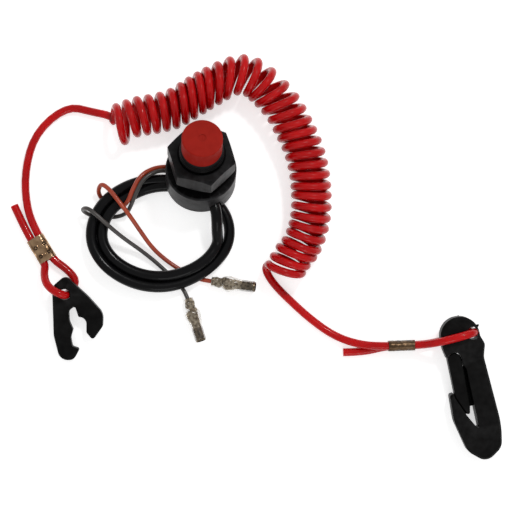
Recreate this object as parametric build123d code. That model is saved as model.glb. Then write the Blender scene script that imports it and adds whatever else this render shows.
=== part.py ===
"""Engine kill switch with its coiled lanyard, in millimetres, lying on the plane z = 0.

The switch leans back on its rear edge, because its cable sleeve is wound under its front.
Each piece is written to parts/NAME.step.
"""

import math
import os

from build123d import *

# Switch housing and barrel
BODY_D = 29.6
BODY_H = 11.7
BODY_EDGE = 0.7
BARREL_D = 18.0
BARREL_H = 18.0
BARREL_EDGE = 0.8
TOP_WALL = 1.7
SIDE_WALL = 2.5
LEDGE_W = 1.0
BARREL_WALL = 2.7
GUIDE_LENGTH = 4.6
NOTCH_ANGLE = -54.0
NOTCH_W = 5.0
NOTCH_H = 5.5

# Hex nut
NUT_AF = 25.0
NUT_H = 9.0
NUT_LIFT = 4.2
NUT_CLEARANCE = 0.1
NUT_CORNER_ANGLE = -6.0
NUT_CHAMFER_ANGLE = 30.0

# Button
CAP_D = 16.6
CAP_H = 9.2
CAP_EDGE = 0.6
CAP_REST_GAP = 0.1
GATE_MARK_D = 3.2
GATE_MARK_DEPTH = 0.2
STEM_D = 6.0
STEM_CLEARANCE = 0.08
STEM_END_Z = 6.9

# Contacts and spring
DISC_D = 11.2
DISC_T = 1.0
DISC_Z = 8.7
CLIP_D = 8.4
CLIP_T = 0.8
CLIP_GROOVE_D = 4.8
CLIP_MOUTH = 3.4
SPRING_D = 9.6
SPRING_WIRE = 0.8
SPRING_TURNS = 6
SEAL_WIRE = 1.5
SEAL_GROOVE_H = 1.9
SEAL_OFFSET = 1.3
BOARD_T = 1.6
BOARD_CLEARANCE = 0.1
BOARD_HOLE_D = 8.9
CONTACT_W = 3.0
CONTACT_T = 0.5
CONTACT_REACH = 4.7
CONTACT_INSET = 2.9
CONTACT_TAIL = 2.2
CONTACT_GAP = 0.1
CONTACT_ANGLE = 36.0
COVER_T = 1.6
COVER_INSET = 0.5
COVER_CLEARANCE = 0.06

# How the switch lies
SWITCH_X = -32.0
SWITCH_Y = 47.8
SWITCH_TILT = 21.0
SWITCH_TURN = -8.0

# Cable sleeve, wound in an oval
SLEEVE_D = 4.7
SLEEVE_PITCH = 4.9
RING_A = 26.9
RING_B = 20.6
RING_X = -48.9
RING_Y = 25.3
RING_LIFT = 2.25
RING_SLOPE_X = -0.05
RING_SLOPE_Y = -0.07

# Wires and bullet connectors
ORANGE_D = 1.9
GREY_D = 1.8
RECEPTACLE_D = 4.2
RECEPTACLE_WALL = 0.35
RECEPTACLE_LENGTH = 15.4
RECEPTACLE_START = 3.4
BARREL_START = 8.6
CRIMP_D = 3.0
WIRE_CLEARANCE = 0.08
WIRE_REACH = 7.0
WIRE_STRAIGHT = 2.4
COVER_LENGTH = 18.2
COVER_WALL = 0.5
COVER_BULGE_D = 6.4
COVER_NECK_D = 4.2
COVER_NECK_LENGTH = 3.2
COVER_BULGE_AT = 7.8
COVER_GRIP_AT = 12.6
PLUG_PITCH = 8.0
ORANGE_PLUG_AT = (-27.3, 5.0, 2.4)
ORANGE_PLUG_ANGLE = -7.5
GREY_PLUG_AT = (-37.3, -2.4, 2.4)
GREY_PLUG_ANGLE = -72.5

# Lanyard cord, its coil and the ferrules
CORD_D = 3.4
COIL_D = 17.4
FERRULE_LENGTH = 11.0
FERRULE_WALL = 0.4
FERRULE_CLEARANCE = 0.1
STRAND_GAP = 0.1
FERRULE_EDGE = 0.15
FERRULE_RUN = 2.1
FORK_FERRULE_AT = (-99.55, 18.75)
FORK_FERRULE_ANGLE = -58.5
HOOK_FERRULE_AT = (52.8, -22.1)
HOOK_FERRULE_ANGLE = 2.0

# Fork clip, measured from its cord hole
FORK_T = 4.0
FORK_EDGE = 0.5
FORK_HOLE_D = 4.7
FORK_SEAT_R = 3.15
FORK_SEAT = (5.85, -13.0)
FORK_LENGTH_BELOW = 27.5
FORK_LIFT = 3.8
FORK_AT = (-89.0, -0.1)

# Snap hook, measured from its cord eye
HOOK_T = 7.5
HOOK_EDGE = 0.9
HOOK_EYE_D = 5.4
HOOK_HEAD_D = 16.4
HOOK_HEAD = (-5.5, -0.2)
HOOK_LENGTH_BELOW = 52.7
HOOK_LIFT = 3.8
HOOK_AT = (82.1, -16.3)
HOOK_TURN = 12.0
GATE_T = 5.4
GATE_DROP = 0.6
GATE_EDGE = 0.35
GATE_ROOT = (-9.85, -9.4)
GATE_ROOT_R = 2.85
GATE_CLEARANCE = 0.3
NOSE_W = 1.8
WEB_T = 1.2
WEB_W = 3.0

# Routes of the cords, chosen by hand
SLEEVE_LEAD = [
    (-27.3, 40.95, 10.8),
    (-23.7, 34.7, 12.9),
    (-22.2, 30.0, 12.0),
    (-22.6, 26.0, 9.0),
    (-23.8, 22.6, 6.4),
]
ORANGE_ROUTE = [
    (-41.0, 53.4, 1.3),
    (-46.6, 53.9, 1.9),
    (-52.0, 53.0, 4.6),
    (-57.3, 49.6, 7.7),
    (-60.6, 43.4, 8.4),
    (-62.4, 37.6, 8.4),
    (-64.8, 33.2, 3.6),
    (-70.2, 33.6, 1.15),
    (-75.4, 38.8, 1.3),
    (-77.0, 42.4, 4.2),
    (-75.2, 45.6, 7.8),
    (-70.6, 43.2, 9.8),
    (-65.9, 38.2, 11.0),
    (-61.6, 32.6, 10.4),
    (-57.4, 26.2, 6.2),
    (-52.6, 19.2, 3.0),
    (-46.6, 13.8, 1.4),
    (-39.6, 9.2, 1.15),
    (-33.9, 6.45, 1.15),
]
GREY_ROUTE = [
    (-41.0, 51.0, 2.1),
    (-46.6, 52.1, 3.2),
    (-50.9, 50.9, 6.9),
    (-55.3, 47.5, 8.2),
    (-58.3, 42.4, 8.4),
    (-60.2, 36.6, 7.6),
    (-63.0, 31.2, 3.4),
    (-68.6, 29.4, 1.2),
    (-75.4, 30.4, 1.1),
    (-81.0, 32.0, 1.5),
    (-83.2, 34.6, 5.4),
    (-79.6, 35.6, 10.2),
    (-75.2, 32.4, 10.6),
    (-70.0, 27.8, 9.6),
    (-64.2, 23.0, 6.2),
    (-57.6, 18.4, 3.0),
    (-50.8, 13.0, 1.4),
    (-44.8, 7.4, 1.2),
    (-41.6, 4.2, 1.3),
]
FORK_TAIL = [
    (-111.3, 37.3, 1.8),
    (-108.3, 30.8, 1.8),
]
FORK_LOOP = [
    (-97.7, 7.0, 5.4),
    (-95.6, 4.0, 10.3),
    (-88.9, -0.1, 11.0),
    (-88.9, -0.1, 1.8),
    (-84.0, 5.0, 1.8),
    (-88.9, 10.4, 1.9),
]
FORK_LEAD = [
    (-106.1, 36.0, 1.9),
    (-107.0, 52.0, 1.8),
    (-102.4, 68.6, 1.8),
    (-89.0, 79.8, 1.9),
    (-78.4, 77.2, 2.0),
    (-67.9, 75.6, 2.0),
]
COIL_ROUTE = [
    (-66.0, 72.6, 8.7),
    (-56.0, 74.6, 8.7),
    (-47.0, 76.2, 8.7),
    (-38.6, 79.6, 8.7),
    (-29.6, 86.0, 8.7),
    (-19.8, 92.0, 8.7),
    (-11.0, 92.4, 8.7),
    (-2.6, 85.6, 8.7),
    (4.2, 75.0, 8.7),
    (10.6, 62.0, 8.7),
    (14.4, 47.0, 8.7),
    (14.4, 31.6, 8.7),
    (11.0, 19.6, 8.7),
    (2.0, 11.0, 8.7),
]
HOOK_LEAD = [
    (2.0, 11.0, 1.9),
    (-1.5, 7.66, 1.9),
    (-1.2, 4.1, 1.9),
    (4.3, -1.6, 1.8),
    (14.4, -11.0, 1.8),
    (25.2, -18.6, 2.2),
    (36.4, -22.0, 4.6),
]
HOOK_LOOP = [
    (64.3, -21.3, 10.0),
    (70.0, -19.6, 14.3),
    (82.8, -16.2, 14.3),
    (82.8, -16.2, 1.8),
    (73.0, -18.6, 1.8),
    (65.8, -20.8, 1.9),
]
HOOK_TAIL = [
    (36.8, -24.9, 1.8),
    (28.2, -25.0, 1.8),
]

# Values that follow from the sizes above
POT_D = BODY_D - 2 * SIDE_WALL
LEDGE_D = POT_D - 2 * LEDGE_W
CHAMBER_D = BARREL_D - 2 * BARREL_WALL
CONTACT_LEG_R = LEDGE_D / 2 - CONTACT_INSET
BARREL_TOP = BODY_H + BARREL_H
NUT_Z = BODY_H + NUT_LIFT
POT_TOP = BODY_H - TOP_WALL
CHAMBER_TOP = BARREL_TOP - GUIDE_LENGTH
CAP_Z = BARREL_TOP + CAP_REST_GAP
CONTACT_PAD_Z = DISC_Z - CONTACT_GAP - CONTACT_T
BOARD_Z = NOTCH_H + 0.1
STRAND_STEP = CORD_D + STRAND_GAP
FERRULE_BORE_T = CORD_D + 2 * FERRULE_CLEARANCE
FERRULE_BORE_W = STRAND_STEP + FERRULE_BORE_T
FERRULE_T = FERRULE_BORE_T + 2 * FERRULE_WALL
FERRULE_W = FERRULE_BORE_W + 2 * FERRULE_WALL
SWITCH_Z = BODY_D / 2 * math.sin(math.radians(SWITCH_TILT))
FORK_TILT = math.degrees(math.asin(FORK_LIFT / FORK_LENGTH_BELOW))
HOOK_TILT = math.degrees(math.asin(HOOK_LIFT / HOOK_LENGTH_BELOW))
NOSE_X = GATE_ROOT[0] - GATE_ROOT_R - 0.4
NOSE_TIP_Y = -0.442 * HOOK_LENGTH_BELOW

SWITCH_PLACE = Pos(SWITCH_X, SWITCH_Y, SWITCH_Z) * Rot(0, 0, SWITCH_TURN) * Rot(-SWITCH_TILT, 0, 0)
FORK_PLACE = Pos(*FORK_AT, FORK_LIFT) * Rot(FORK_TILT, 0, 0)
HOOK_PLACE = Pos(*HOOK_AT, HOOK_LIFT) * Rot(0, 0, HOOK_TURN) * Rot(HOOK_TILT, 0, 0)


def disc(diameter, height, z=0.0):
    """A plain cylinder that stands on height z."""
    return Pos(0, 0, z) * Cylinder(diameter / 2, height, align=(Align.CENTER, Align.CENTER, Align.MIN))


def turned(points):
    """A solid of revolution about Z from an (r, z) outline."""
    outline = make_face(Polyline(*[(r, 0, z) for r, z in points], close=True))
    return revolve(outline, axis=Axis.Z)


def plate(outline, thickness, edge):
    """A flat moulding of one outline, with both faces' edges broken."""
    slab = extrude(outline, thickness)
    rims = slab.edges().filter_by_position(Axis.Z, 0, 0) + slab.edges().filter_by_position(
        Axis.Z, thickness, thickness
    )
    return chamfer(rims, edge)


def notch_channel():
    """The round-topped slot that the sleeve leaves through, from the middle to beyond the rim."""
    top = NOTCH_W / 2
    straight = NOTCH_H - top
    slot = Pos(BODY_D / 2, 0, straight / 2) * Box(BODY_D, NOTCH_W, straight)
    slot += Pos(BODY_D / 2, 0, straight) * Rot(0, 90, 0) * Cylinder(top, BODY_D)
    return Rot(0, 0, NOTCH_ANGLE) * slot


def switch_housing():
    """Round body with a threaded barrel, hollow from below."""
    body = chamfer(disc(BODY_D, BODY_H).edges().group_by(Axis.Z)[-1], BODY_EDGE)
    barrel = chamfer(disc(BARREL_D, BARREL_H, BODY_H).edges().group_by(Axis.Z)[-1], BARREL_EDGE)
    shell = body + barrel
    shell -= disc(POT_D, BOARD_Z + BOARD_T)
    shell -= disc(LEDGE_D, POT_TOP)
    shell -= disc(CHAMBER_D, CHAMBER_TOP)
    shell -= disc(STEM_D + 2 * STEM_CLEARANCE, BARREL_TOP)
    groove_d = STEM_D + 2 * SEAL_WIRE + 0.1
    shell -= disc(groove_d, SEAL_GROOVE_H, BARREL_TOP - SEAL_OFFSET - SEAL_GROOVE_H)
    return shell - notch_channel()


def hex_nut():
    """Nut with chamfered corners, run part of the way down the barrel."""
    across = NUT_AF / math.cos(math.radians(30))
    prism = extrude(Rot(0, 0, NUT_CORNER_ANGLE) * RegularPolygon(across / 2, 6), NUT_H)
    drop = (across - NUT_AF) / 2 * math.tan(math.radians(NUT_CHAMFER_ANGLE))
    half = across / 2
    cone = turned([(0, 0), (NUT_AF / 2, 0), (half, drop), (half, NUT_H - drop), (NUT_AF / 2, NUT_H), (0, NUT_H)])
    bore_d = BARREL_D + 2 * NUT_CLEARANCE
    blank = (prism & cone) - disc(bore_d, NUT_H)
    mouth = BARREL_EDGE
    for z, wide, narrow in ((0, bore_d + 2 * mouth, bore_d), (NUT_H - mouth, bore_d, bore_d + 2 * mouth)):
        blank -= turned([(0, z), (wide / 2, z), (narrow / 2, z + mouth), (0, z + mouth)])
    return Pos(0, 0, NUT_Z) * blank


def kill_button():
    """Red cap and stem in one moulding, with a groove for the retaining clip."""
    cap = disc(CAP_D, CAP_H, CAP_Z)
    cap = fillet(cap.edges().group_by(Axis.Z)[-1], CAP_EDGE)
    stem = disc(STEM_D, CAP_Z - STEM_END_Z, STEM_END_Z)
    stem -= disc(STEM_D, CLIP_T, DISC_Z - CLIP_T) - disc(CLIP_GROOVE_D, CLIP_T, DISC_Z - CLIP_T)
    mark = disc(GATE_MARK_D, GATE_MARK_DEPTH, CAP_Z + CAP_H - GATE_MARK_DEPTH)
    return cap + stem - mark


def stem_seal():
    """Ring of round section in the groove of the guide."""
    middle = BARREL_TOP - SEAL_OFFSET - SEAL_GROOVE_H / 2
    radius = (STEM_D + SEAL_WIRE) / 2 + STEM_CLEARANCE / 2
    return Pos(0, 0, middle) * Torus(radius, (SEAL_WIRE - STEM_CLEARANCE) / 2)


def return_spring():
    """Compression spring between the contact disc and the top of the chamber."""
    low = DISC_Z + DISC_T + SPRING_WIRE / 2
    high = CHAMBER_TOP - SPRING_WIRE / 2
    radius = (SPRING_D - SPRING_WIRE) / 2
    coil = Pos(0, 0, low) * Helix(pitch=(high - low) / SPRING_TURNS, height=high - low, radius=radius)
    section = Plane(origin=coil @ 0, z_dir=coil % 0) * Circle(SPRING_WIRE / 2)
    return sweep(section, path=coil, is_frenet=True)


def moving_contact():
    """Brass disc on the stem that bridges the two terminals."""
    ring = disc(DISC_D, DISC_T, DISC_Z) - disc(STEM_D + 2 * STEM_CLEARANCE, DISC_T, DISC_Z)
    return chamfer(ring.edges().group_by(Axis.Z)[-1].sort_by(SortBy.LENGTH)[-1], DISC_T / 4)


def retaining_clip():
    """Flat spring clip in the stem's groove, open on one side."""
    ring = disc(CLIP_D, CLIP_T, DISC_Z - CLIP_T) - disc(CLIP_GROOVE_D, CLIP_T, DISC_Z - CLIP_T)
    mouth = Pos(CLIP_D / 2, 0, DISC_Z - CLIP_T / 2) * Box(CLIP_D, CLIP_MOUTH, CLIP_T)
    return ring - mouth


def contact_slot(side, clearance):
    """The straight leg of one terminal, as it passes through the board."""
    leg_h = CONTACT_PAD_Z + CONTACT_T - (BOARD_Z - CONTACT_TAIL)
    leg = Box(CONTACT_T + 2 * clearance, CONTACT_W + 2 * clearance, leg_h)
    z = BOARD_Z - CONTACT_TAIL + leg_h / 2
    return Rot(0, 0, CONTACT_ANGLE + side) * Pos(CONTACT_LEG_R, 0, z) * leg


def terminal(side):
    """Brass strip: a leg through the board and a pad under the contact disc."""
    reach = CONTACT_LEG_R - CONTACT_REACH + CONTACT_T / 2
    pad = Pos(CONTACT_LEG_R + CONTACT_T / 2 - reach / 2, 0, CONTACT_PAD_Z + CONTACT_T / 2)
    pad = Rot(0, 0, CONTACT_ANGLE + side) * pad * Box(reach, CONTACT_W, CONTACT_T)
    return contact_slot(side, 0) + pad


def terminal_board():
    """Round board that seats on the ledge of the pot."""
    board = disc(POT_D - 2 * BOARD_CLEARANCE, BOARD_T, BOARD_Z) - disc(BOARD_HOLE_D, BOARD_T, BOARD_Z)
    for side in (0, 180):
        board -= contact_slot(side, WIRE_CLEARANCE)
    return board


def rear_cover():
    """Disc that closes the underside, slotted where the sleeve leaves."""
    cover = disc(POT_D - 2 * COVER_CLEARANCE, COVER_T, COVER_INSET)
    cover = chamfer(cover.edges().group_by(Axis.Z)[0], COVER_INSET / 2)
    return cover - notch_channel()


def corner_radii(points):
    """The largest arc that each corner's two runs allow."""
    vectors = [Vector(*p) for p in points]
    radii = []
    for before, corner, after in zip(vectors, vectors[1:], vectors[2:]):
        run_in = corner - before
        run_out = after - corner
        turn = math.radians(run_in.get_angle(run_out))
        radii.append(0.45 * min(run_in.length, run_out.length) / math.tan(turn / 2))
    return radii


def cord_tube(name, points, diameter):
    """A round cord of straight runs joined by tangent arcs."""
    radii = corner_radii(points)
    path = FilletPolyline(*points, radius=radii)
    start = Vector(*points[0])
    heading = Vector(*points[1]) - start
    tube = sweep(Plane(origin=start, z_dir=heading) * Circle(diameter / 2), path=path)
    expected = math.pi * diameter**2 / 4 * path.length
    print(f"{name}: length {path.length:.1f}, volume {tube.volume:.1f}, section x length {expected:.1f}")
    print("  radii " + " ".join(f"{r:.1f}" for r in radii))
    return tube


def sleeve_ring():
    """The two turns of the sleeve as one oval ring, tilted where the wires pass below it."""
    normal = (-RING_SLOPE_X, -RING_SLOPE_Y, 1)
    middle = (RING_X, RING_Y, RING_LIFT + SLEEVE_D / 2)
    lie = Plane(origin=middle, x_dir=(1, 0, RING_SLOPE_X), z_dir=normal)
    path = Ellipse(RING_A, RING_B).edge()
    section = Plane(origin=(RING_A, 0, 0), x_dir=(1, 0, 0), z_dir=(0, 1, 0)) * SlotOverall(
        SLEEVE_PITCH + SLEEVE_D, SLEEVE_D
    )
    return lie.location * sweep(section, path=path)


def receptacle(wire_d):
    """Brass bullet socket: crimp barrel, shoulder and socket tube, along +Z from the cover's end."""
    crimp_r = CRIMP_D / 2
    outer_r = RECEPTACLE_D / 2
    bore_r = outer_r - RECEPTACLE_WALL
    wire_r = wire_d / 2 + WIRE_CLEARANCE
    end = RECEPTACLE_START + RECEPTACLE_LENGTH
    shoulder = BARREL_START - (outer_r - crimp_r)
    return turned(
        [
            (wire_r, RECEPTACLE_START),
            (crimp_r, RECEPTACLE_START),
            (crimp_r, shoulder),
            (outer_r, BARREL_START),
            (outer_r, end),
            (bore_r, end),
            (bore_r, BARREL_START),
            (wire_r, shoulder),
        ]
    )


def connector_cover(wire_d):
    """Soft bottle-shaped cover over a bullet socket, wide over the crimp."""
    neck_r = COVER_NECK_D / 2
    grip_r = RECEPTACLE_D / 2 + COVER_WALL + WIRE_CLEARANCE
    wire_r = wire_d / 2 + WIRE_CLEARANCE
    neck = (neck_r, 0, COVER_NECK_LENGTH)
    bulge = (COVER_BULGE_D / 2, 0, COVER_BULGE_AT)
    grip = (grip_r, 0, COVER_GRIP_AT)
    upward = (0, 0, 1)
    outer = Line((neck_r, 0, 0), neck) + Spline(neck, bulge, grip, tangents=(upward, upward))
    sides = Polyline(
        grip,
        (grip_r, 0, COVER_LENGTH),
        (grip_r - COVER_WALL, 0, COVER_LENGTH),
        (grip_r - COVER_WALL, 0, BARREL_START),
        (CRIMP_D / 2 + WIRE_CLEARANCE, 0, RECEPTACLE_START),
        (wire_r, 0, RECEPTACLE_START / 2),
        (wire_r, 0, 0),
        (neck_r, 0, 0),
    )
    return revolve(make_face(outer + sides), axis=Axis.Z)


def plug_place(at, angle):
    """Where a connector lies: its own +Z runs from the wire to the socket's mouth."""
    return Pos(*at) * Rot(0, 0, angle) * Rot(0, 90 - PLUG_PITCH, 0)


def strand(at, angle, aside, z):
    """The straight run of one strand through a ferrule, from its first end to its last."""
    reach = FERRULE_LENGTH / 2 + FERRULE_RUN
    along = Vector(1, 0, 0).rotate(Axis.Z, angle)
    across = Vector(0, 1, 0).rotate(Axis.Z, angle)
    middle = Vector(*at, z) + across * aside
    return [tuple(middle - along * reach), tuple(middle + along * reach)]


def fork_end_route():
    """The cord from its cut end through the ferrule, the fork's hole and the ferrule again to the coil."""
    left = strand(FORK_FERRULE_AT, FORK_FERRULE_ANGLE, -STRAND_STEP / 2, FERRULE_T / 2)
    right = strand(FORK_FERRULE_AT, FORK_FERRULE_ANGLE, STRAND_STEP / 2, FERRULE_T / 2)
    return FORK_TAIL + left + FORK_LOOP + right[::-1] + FORK_LEAD


def hook_end_route():
    """The cord from the coil through the ferrule, the hook's eye and the ferrule again to its cut end."""
    upper = strand(HOOK_FERRULE_AT, HOOK_FERRULE_ANGLE, 0, (FERRULE_W + STRAND_STEP) / 2)
    lower = strand(HOOK_FERRULE_AT, HOOK_FERRULE_ANGLE, 0, (FERRULE_W - STRAND_STEP) / 2)
    return HOOK_LEAD + upper + HOOK_LOOP + lower[::-1] + HOOK_TAIL


def ferrule(at, angle, upright):
    """Flattened tube crimped over two strands, lying flat or standing on its edge."""
    outer = extrude(SlotOverall(FERRULE_W, FERRULE_T), FERRULE_LENGTH / 2, both=True)
    bore = extrude(SlotOverall(FERRULE_BORE_W, FERRULE_BORE_T), FERRULE_LENGTH, both=True)
    tube = outer - bore
    ends = tube.edges().group_by(Axis.Z)
    tube = chamfer(ends[0] + ends[-1], FERRULE_EDGE)
    z = FERRULE_W / 2 if upright else FERRULE_T / 2
    roll = 0 if upright else 90
    return Pos(*at, z) * Rot(0, 0, angle) * Rot(0, 90, 0) * Rot(0, 0, roll) * tube


def fitted_radii(corners):
    """Each corner's radius, cut down where its two runs have no room for the arc."""
    points = [Vector(x, y) for x, y, _ in corners]
    count = len(points)
    reaches = []
    for i, (_, _, radius) in enumerate(corners):
        turn = (points[i] - points[i - 1]).get_angle(points[(i + 1) % count] - points[i])
        reaches.append(radius * math.tan(math.radians(turn) / 2))
    radii = []
    for i, (_, _, radius) in enumerate(corners):
        room = 1
        for near in (i - 1, (i + 1) % count):
            run = (points[near] - points[i]).length
            room = min(room, 0.98 * run / (reaches[i] + reaches[near]))
        radii.append(radius * room)
    return radii


def rounded(corners):
    """A face from (x, y, radius) corners, each rounded by its own radius."""
    points = [(x, y) for x, y, _ in corners]
    return make_face(FilletPolyline(*points, radius=fitted_radii(corners), close=True))


def fork_outline():
    """Outline of the fork clip: a long left jaw, a short right jaw and the seat between them."""
    seat_x, seat_y = FORK_SEAT
    left = seat_x - FORK_SEAT_R
    right = seat_x + FORK_SEAT_R
    roof = seat_y + FORK_SEAT_R
    jaw = FORK_LENGTH_BELOW + seat_y
    return rounded(
        [
            (-5.3, 3.4, 4.2),
            (0.2, 8.0, 2.8),
            (9.8, -1.0, 20.0),
            (16.0, seat_y + 5.0, 6.0),
            (15.8, seat_y - 0.6, 3.0),
            (11.6, seat_y - 6.4, 1.1),
            (right - 0.1, seat_y - 3.2, 1.4),
            (right, roof, 0.9 * FORK_SEAT_R),
            (seat_x - 0.2, roof + 0.3, 0.8),
            (4.2, -4.9, 0.75),
            (1.5, -7.0, 1.8),
            (1.7, seat_y + 1.6, 6.0),
            (left + 0.55, seat_y - 1.9, 0.9),
            (2.2, seat_y - 0.37 * jaw, 3.0),
            (2.9, seat_y - 0.63 * jaw, 0.9),
            (5.9, seat_y - 0.70 * jaw, 0.8),
            (3.4, seat_y - 1.03 * jaw, 3.0),
            (-2.4, seat_y - 1.03 * jaw, 4.2),
            (-4.9, seat_y - 0.31 * jaw, 8.0),
        ]
    )


def fork_clip():
    """Clip that slides under the button's cap, with a hole for the cord."""
    hole = Cylinder(FORK_HOLE_D / 2, 3 * FORK_T)
    return FORK_PLACE * (plate(fork_outline(), FORK_T, FORK_EDGE) - hole)


def along_hook(part):
    """Height of a point that lies at a part of the way from the hook's eye to its nose."""
    return -part * HOOK_LENGTH_BELOW


def hook_outline():
    """Outer shape of the snap hook: round head, straight back and rounded nose."""
    head_x, head_y = HOOK_HEAD
    r = HOOK_HEAD_D / 2
    return rounded(
        [
            (head_x - r, head_y + r, 0.98 * r),
            (head_x + r, head_y + r, 0.98 * r),
            (head_x + r, -1.6, 3.0),
            (4.0, along_hook(0.102), 2.5),
            (2.4, along_hook(0.201), 6.0),
            (3.9, along_hook(0.759), 40.0),
            (2.2, along_hook(0.939), 6.0),
            (-5.4, along_hook(1.032), 5.0),
            (-12.2, along_hook(0.917), 6.0),
            (-15.3, along_hook(0.657), 12.0),
            (NOSE_X - NOSE_W, NOSE_TIP_Y, 1.2),
            (NOSE_X + GATE_CLEARANCE, NOSE_TIP_Y, 0.3),
            (GATE_ROOT[0] - GATE_ROOT_R, GATE_ROOT[1], 8.0),
            (head_x - r, -4.2, 6.0),
        ]
    )


def gate_outline():
    """The hook's tongue from its round root to its tip inside the nose."""
    root_x, root_y = GATE_ROOT
    r = GATE_ROOT_R
    return rounded(
        [
            (root_x - r, root_y + r, 0.995 * r),
            (root_x + r, root_y + r, 0.995 * r),
            (root_x + r, root_y - 4.0, 8.0),
            (root_x + 2.45, along_hook(0.558), 3.0),
            (root_x + 1.7, along_hook(0.628), 0.8),
            (root_x + 0.5, along_hook(0.621), 0.6),
            (root_x - r, NOSE_TIP_Y - 1.6, 1.0),
        ]
    )


def hook_throat():
    """What is cut out of the hook: the tongue's room and the gap behind its tip."""
    root_x, root_y = GATE_ROOT
    r = GATE_ROOT_R + GATE_CLEARANCE
    back = root_x + r + 0.9
    outside = HOOK_HEAD[0] - HOOK_HEAD_D / 2 - 2 * r
    return rounded(
        [
            (outside, root_y + r * 0.2, 0.1),
            (root_x - r, root_y + r * 0.2, 0.1),
            (root_x - r, root_y + r, 0.79 * r),
            (root_x + r, root_y + r, 0.99 * r),
            (root_x + r, root_y - 2.6, 1.0),
            (back, root_y - 4.6, 1.0),
            (back + 0.2, along_hook(0.751), 0.4),
            (back - 0.6, along_hook(0.744), 0.4),
            (root_x + 0.15, along_hook(0.627), 6.0),
            (NOSE_X, NOSE_TIP_Y - 1.6, 0.6),
            (NOSE_X, NOSE_TIP_Y + 1.1, 0.3),
            (outside, NOSE_TIP_Y + 1.1, 0.1),
        ]
    )


def throat_web():
    """Thin floor beside the tongue, so that the slot is open only behind the tip."""
    root_x, root_y = GATE_ROOT
    back = root_x + GATE_ROOT_R + 2 * GATE_CLEARANCE + 0.9
    high = root_y - 4.0
    low = along_hook(0.580)
    block = Box(WEB_W, high - low, WEB_T, align=(Align.MAX, Align.MAX, Align.MIN))
    return Pos(back, high, 0) * block


def snap_hook():
    """Moulded hook: head with the cord's eye, straight back, and a nose that the tongue closes on."""
    body = plate(hook_outline(), HOOK_T, HOOK_EDGE)
    throat = extrude(hook_throat(), 3 * HOOK_T, both=True)
    eye = Cylinder(HOOK_EYE_D / 2, 3 * HOOK_T)
    return HOOK_PLACE * (body - throat - eye + throat_web())


def hook_gate():
    """The tongue, thinner than the hook and clear of the web below it."""
    tongue = plate(gate_outline(), GATE_T, GATE_EDGE)
    return HOOK_PLACE * Pos(0, 0, HOOK_T - GATE_DROP - GATE_T) * tongue


def build():
    """Every piece by its name, in its place."""
    switch = {
        "switch_housing": switch_housing(),
        "hex_nut": hex_nut(),
        "kill_button": kill_button(),
        "stem_seal": stem_seal(),
        "return_spring": return_spring(),
        "moving_contact": moving_contact(),
        "retaining_clip": retaining_clip(),
        "terminal_board": terminal_board(),
        "orange_terminal": terminal(0),
        "grey_terminal": terminal(180),
        "rear_cover": rear_cover(),
    }
    pieces = {name: SWITCH_PLACE * piece for name, piece in switch.items()}
    plugs = (
        ("orange", ORANGE_ROUTE, ORANGE_D, ORANGE_PLUG_AT, ORANGE_PLUG_ANGLE),
        ("grey", GREY_ROUTE, GREY_D, GREY_PLUG_AT, GREY_PLUG_ANGLE),
    )
    for colour, route, wire_d, at, angle in plugs:
        place = plug_place(at, angle)
        entry = place * Pos(0, 0, -WIRE_STRAIGHT)
        inside = place * Pos(0, 0, WIRE_REACH)
        points = route + [tuple(entry.position), tuple(inside.position)]
        pieces[f"{colour}_wire"] = cord_tube(f"{colour}_wire", points, wire_d)
        pieces[f"{colour}_receptacle"] = place * receptacle(wire_d)
        pieces[f"{colour}_connector_cover"] = place * connector_cover(wire_d)
    pieces["sleeve_lead"] = cord_tube("sleeve_lead", SLEEVE_LEAD, SLEEVE_D)
    pieces["sleeve_ring"] = sleeve_ring()
    pieces["lanyard_fork_end"] = cord_tube("lanyard_fork_end", fork_end_route(), CORD_D)
    pieces["lanyard_coil"] = cord_tube("lanyard_coil", COIL_ROUTE, COIL_D)
    pieces["lanyard_hook_end"] = cord_tube("lanyard_hook_end", hook_end_route(), CORD_D)
    pieces["fork_ferrule"] = ferrule(FORK_FERRULE_AT, FORK_FERRULE_ANGLE, False)
    pieces["hook_ferrule"] = ferrule(HOOK_FERRULE_AT, HOOK_FERRULE_ANGLE, True)
    pieces["fork_clip"] = fork_clip()
    pieces["snap_hook"] = snap_hook()
    pieces["hook_gate"] = hook_gate()
    return pieces


os.makedirs("parts", exist_ok=True)
for node, solid in build().items():
    export_step(solid, f"parts/{node}.step")
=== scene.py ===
"""Engine kill switch with its coiled lanyard: the looks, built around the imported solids.

Every length in the classes is in millimetres, in the frame of the solids, and is turned into
metres where a mesh or a curve is made.
"""

import logging
import math
import random
from collections.abc import Callable
from dataclasses import dataclass, field, replace
from enum import Enum

import bpy
from mathutils import Matrix, Vector, noise


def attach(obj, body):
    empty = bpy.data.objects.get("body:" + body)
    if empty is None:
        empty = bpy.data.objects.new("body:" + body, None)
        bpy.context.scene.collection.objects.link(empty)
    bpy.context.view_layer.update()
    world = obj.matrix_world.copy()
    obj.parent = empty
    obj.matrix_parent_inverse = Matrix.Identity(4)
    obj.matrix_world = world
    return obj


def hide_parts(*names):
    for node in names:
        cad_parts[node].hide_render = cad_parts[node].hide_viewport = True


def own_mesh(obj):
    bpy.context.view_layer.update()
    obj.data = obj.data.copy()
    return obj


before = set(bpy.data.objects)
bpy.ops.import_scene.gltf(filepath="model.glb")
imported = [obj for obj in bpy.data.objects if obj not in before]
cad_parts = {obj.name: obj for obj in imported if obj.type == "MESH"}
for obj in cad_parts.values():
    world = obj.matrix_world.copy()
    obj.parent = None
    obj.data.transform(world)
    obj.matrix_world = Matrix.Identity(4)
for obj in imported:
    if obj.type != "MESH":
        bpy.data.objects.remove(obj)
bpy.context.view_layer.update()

MM = 0.001
SET_BODY = "switch_set"
LOG = logging.getLogger("kill_switch")
Point = tuple[float, float, float]
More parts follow.
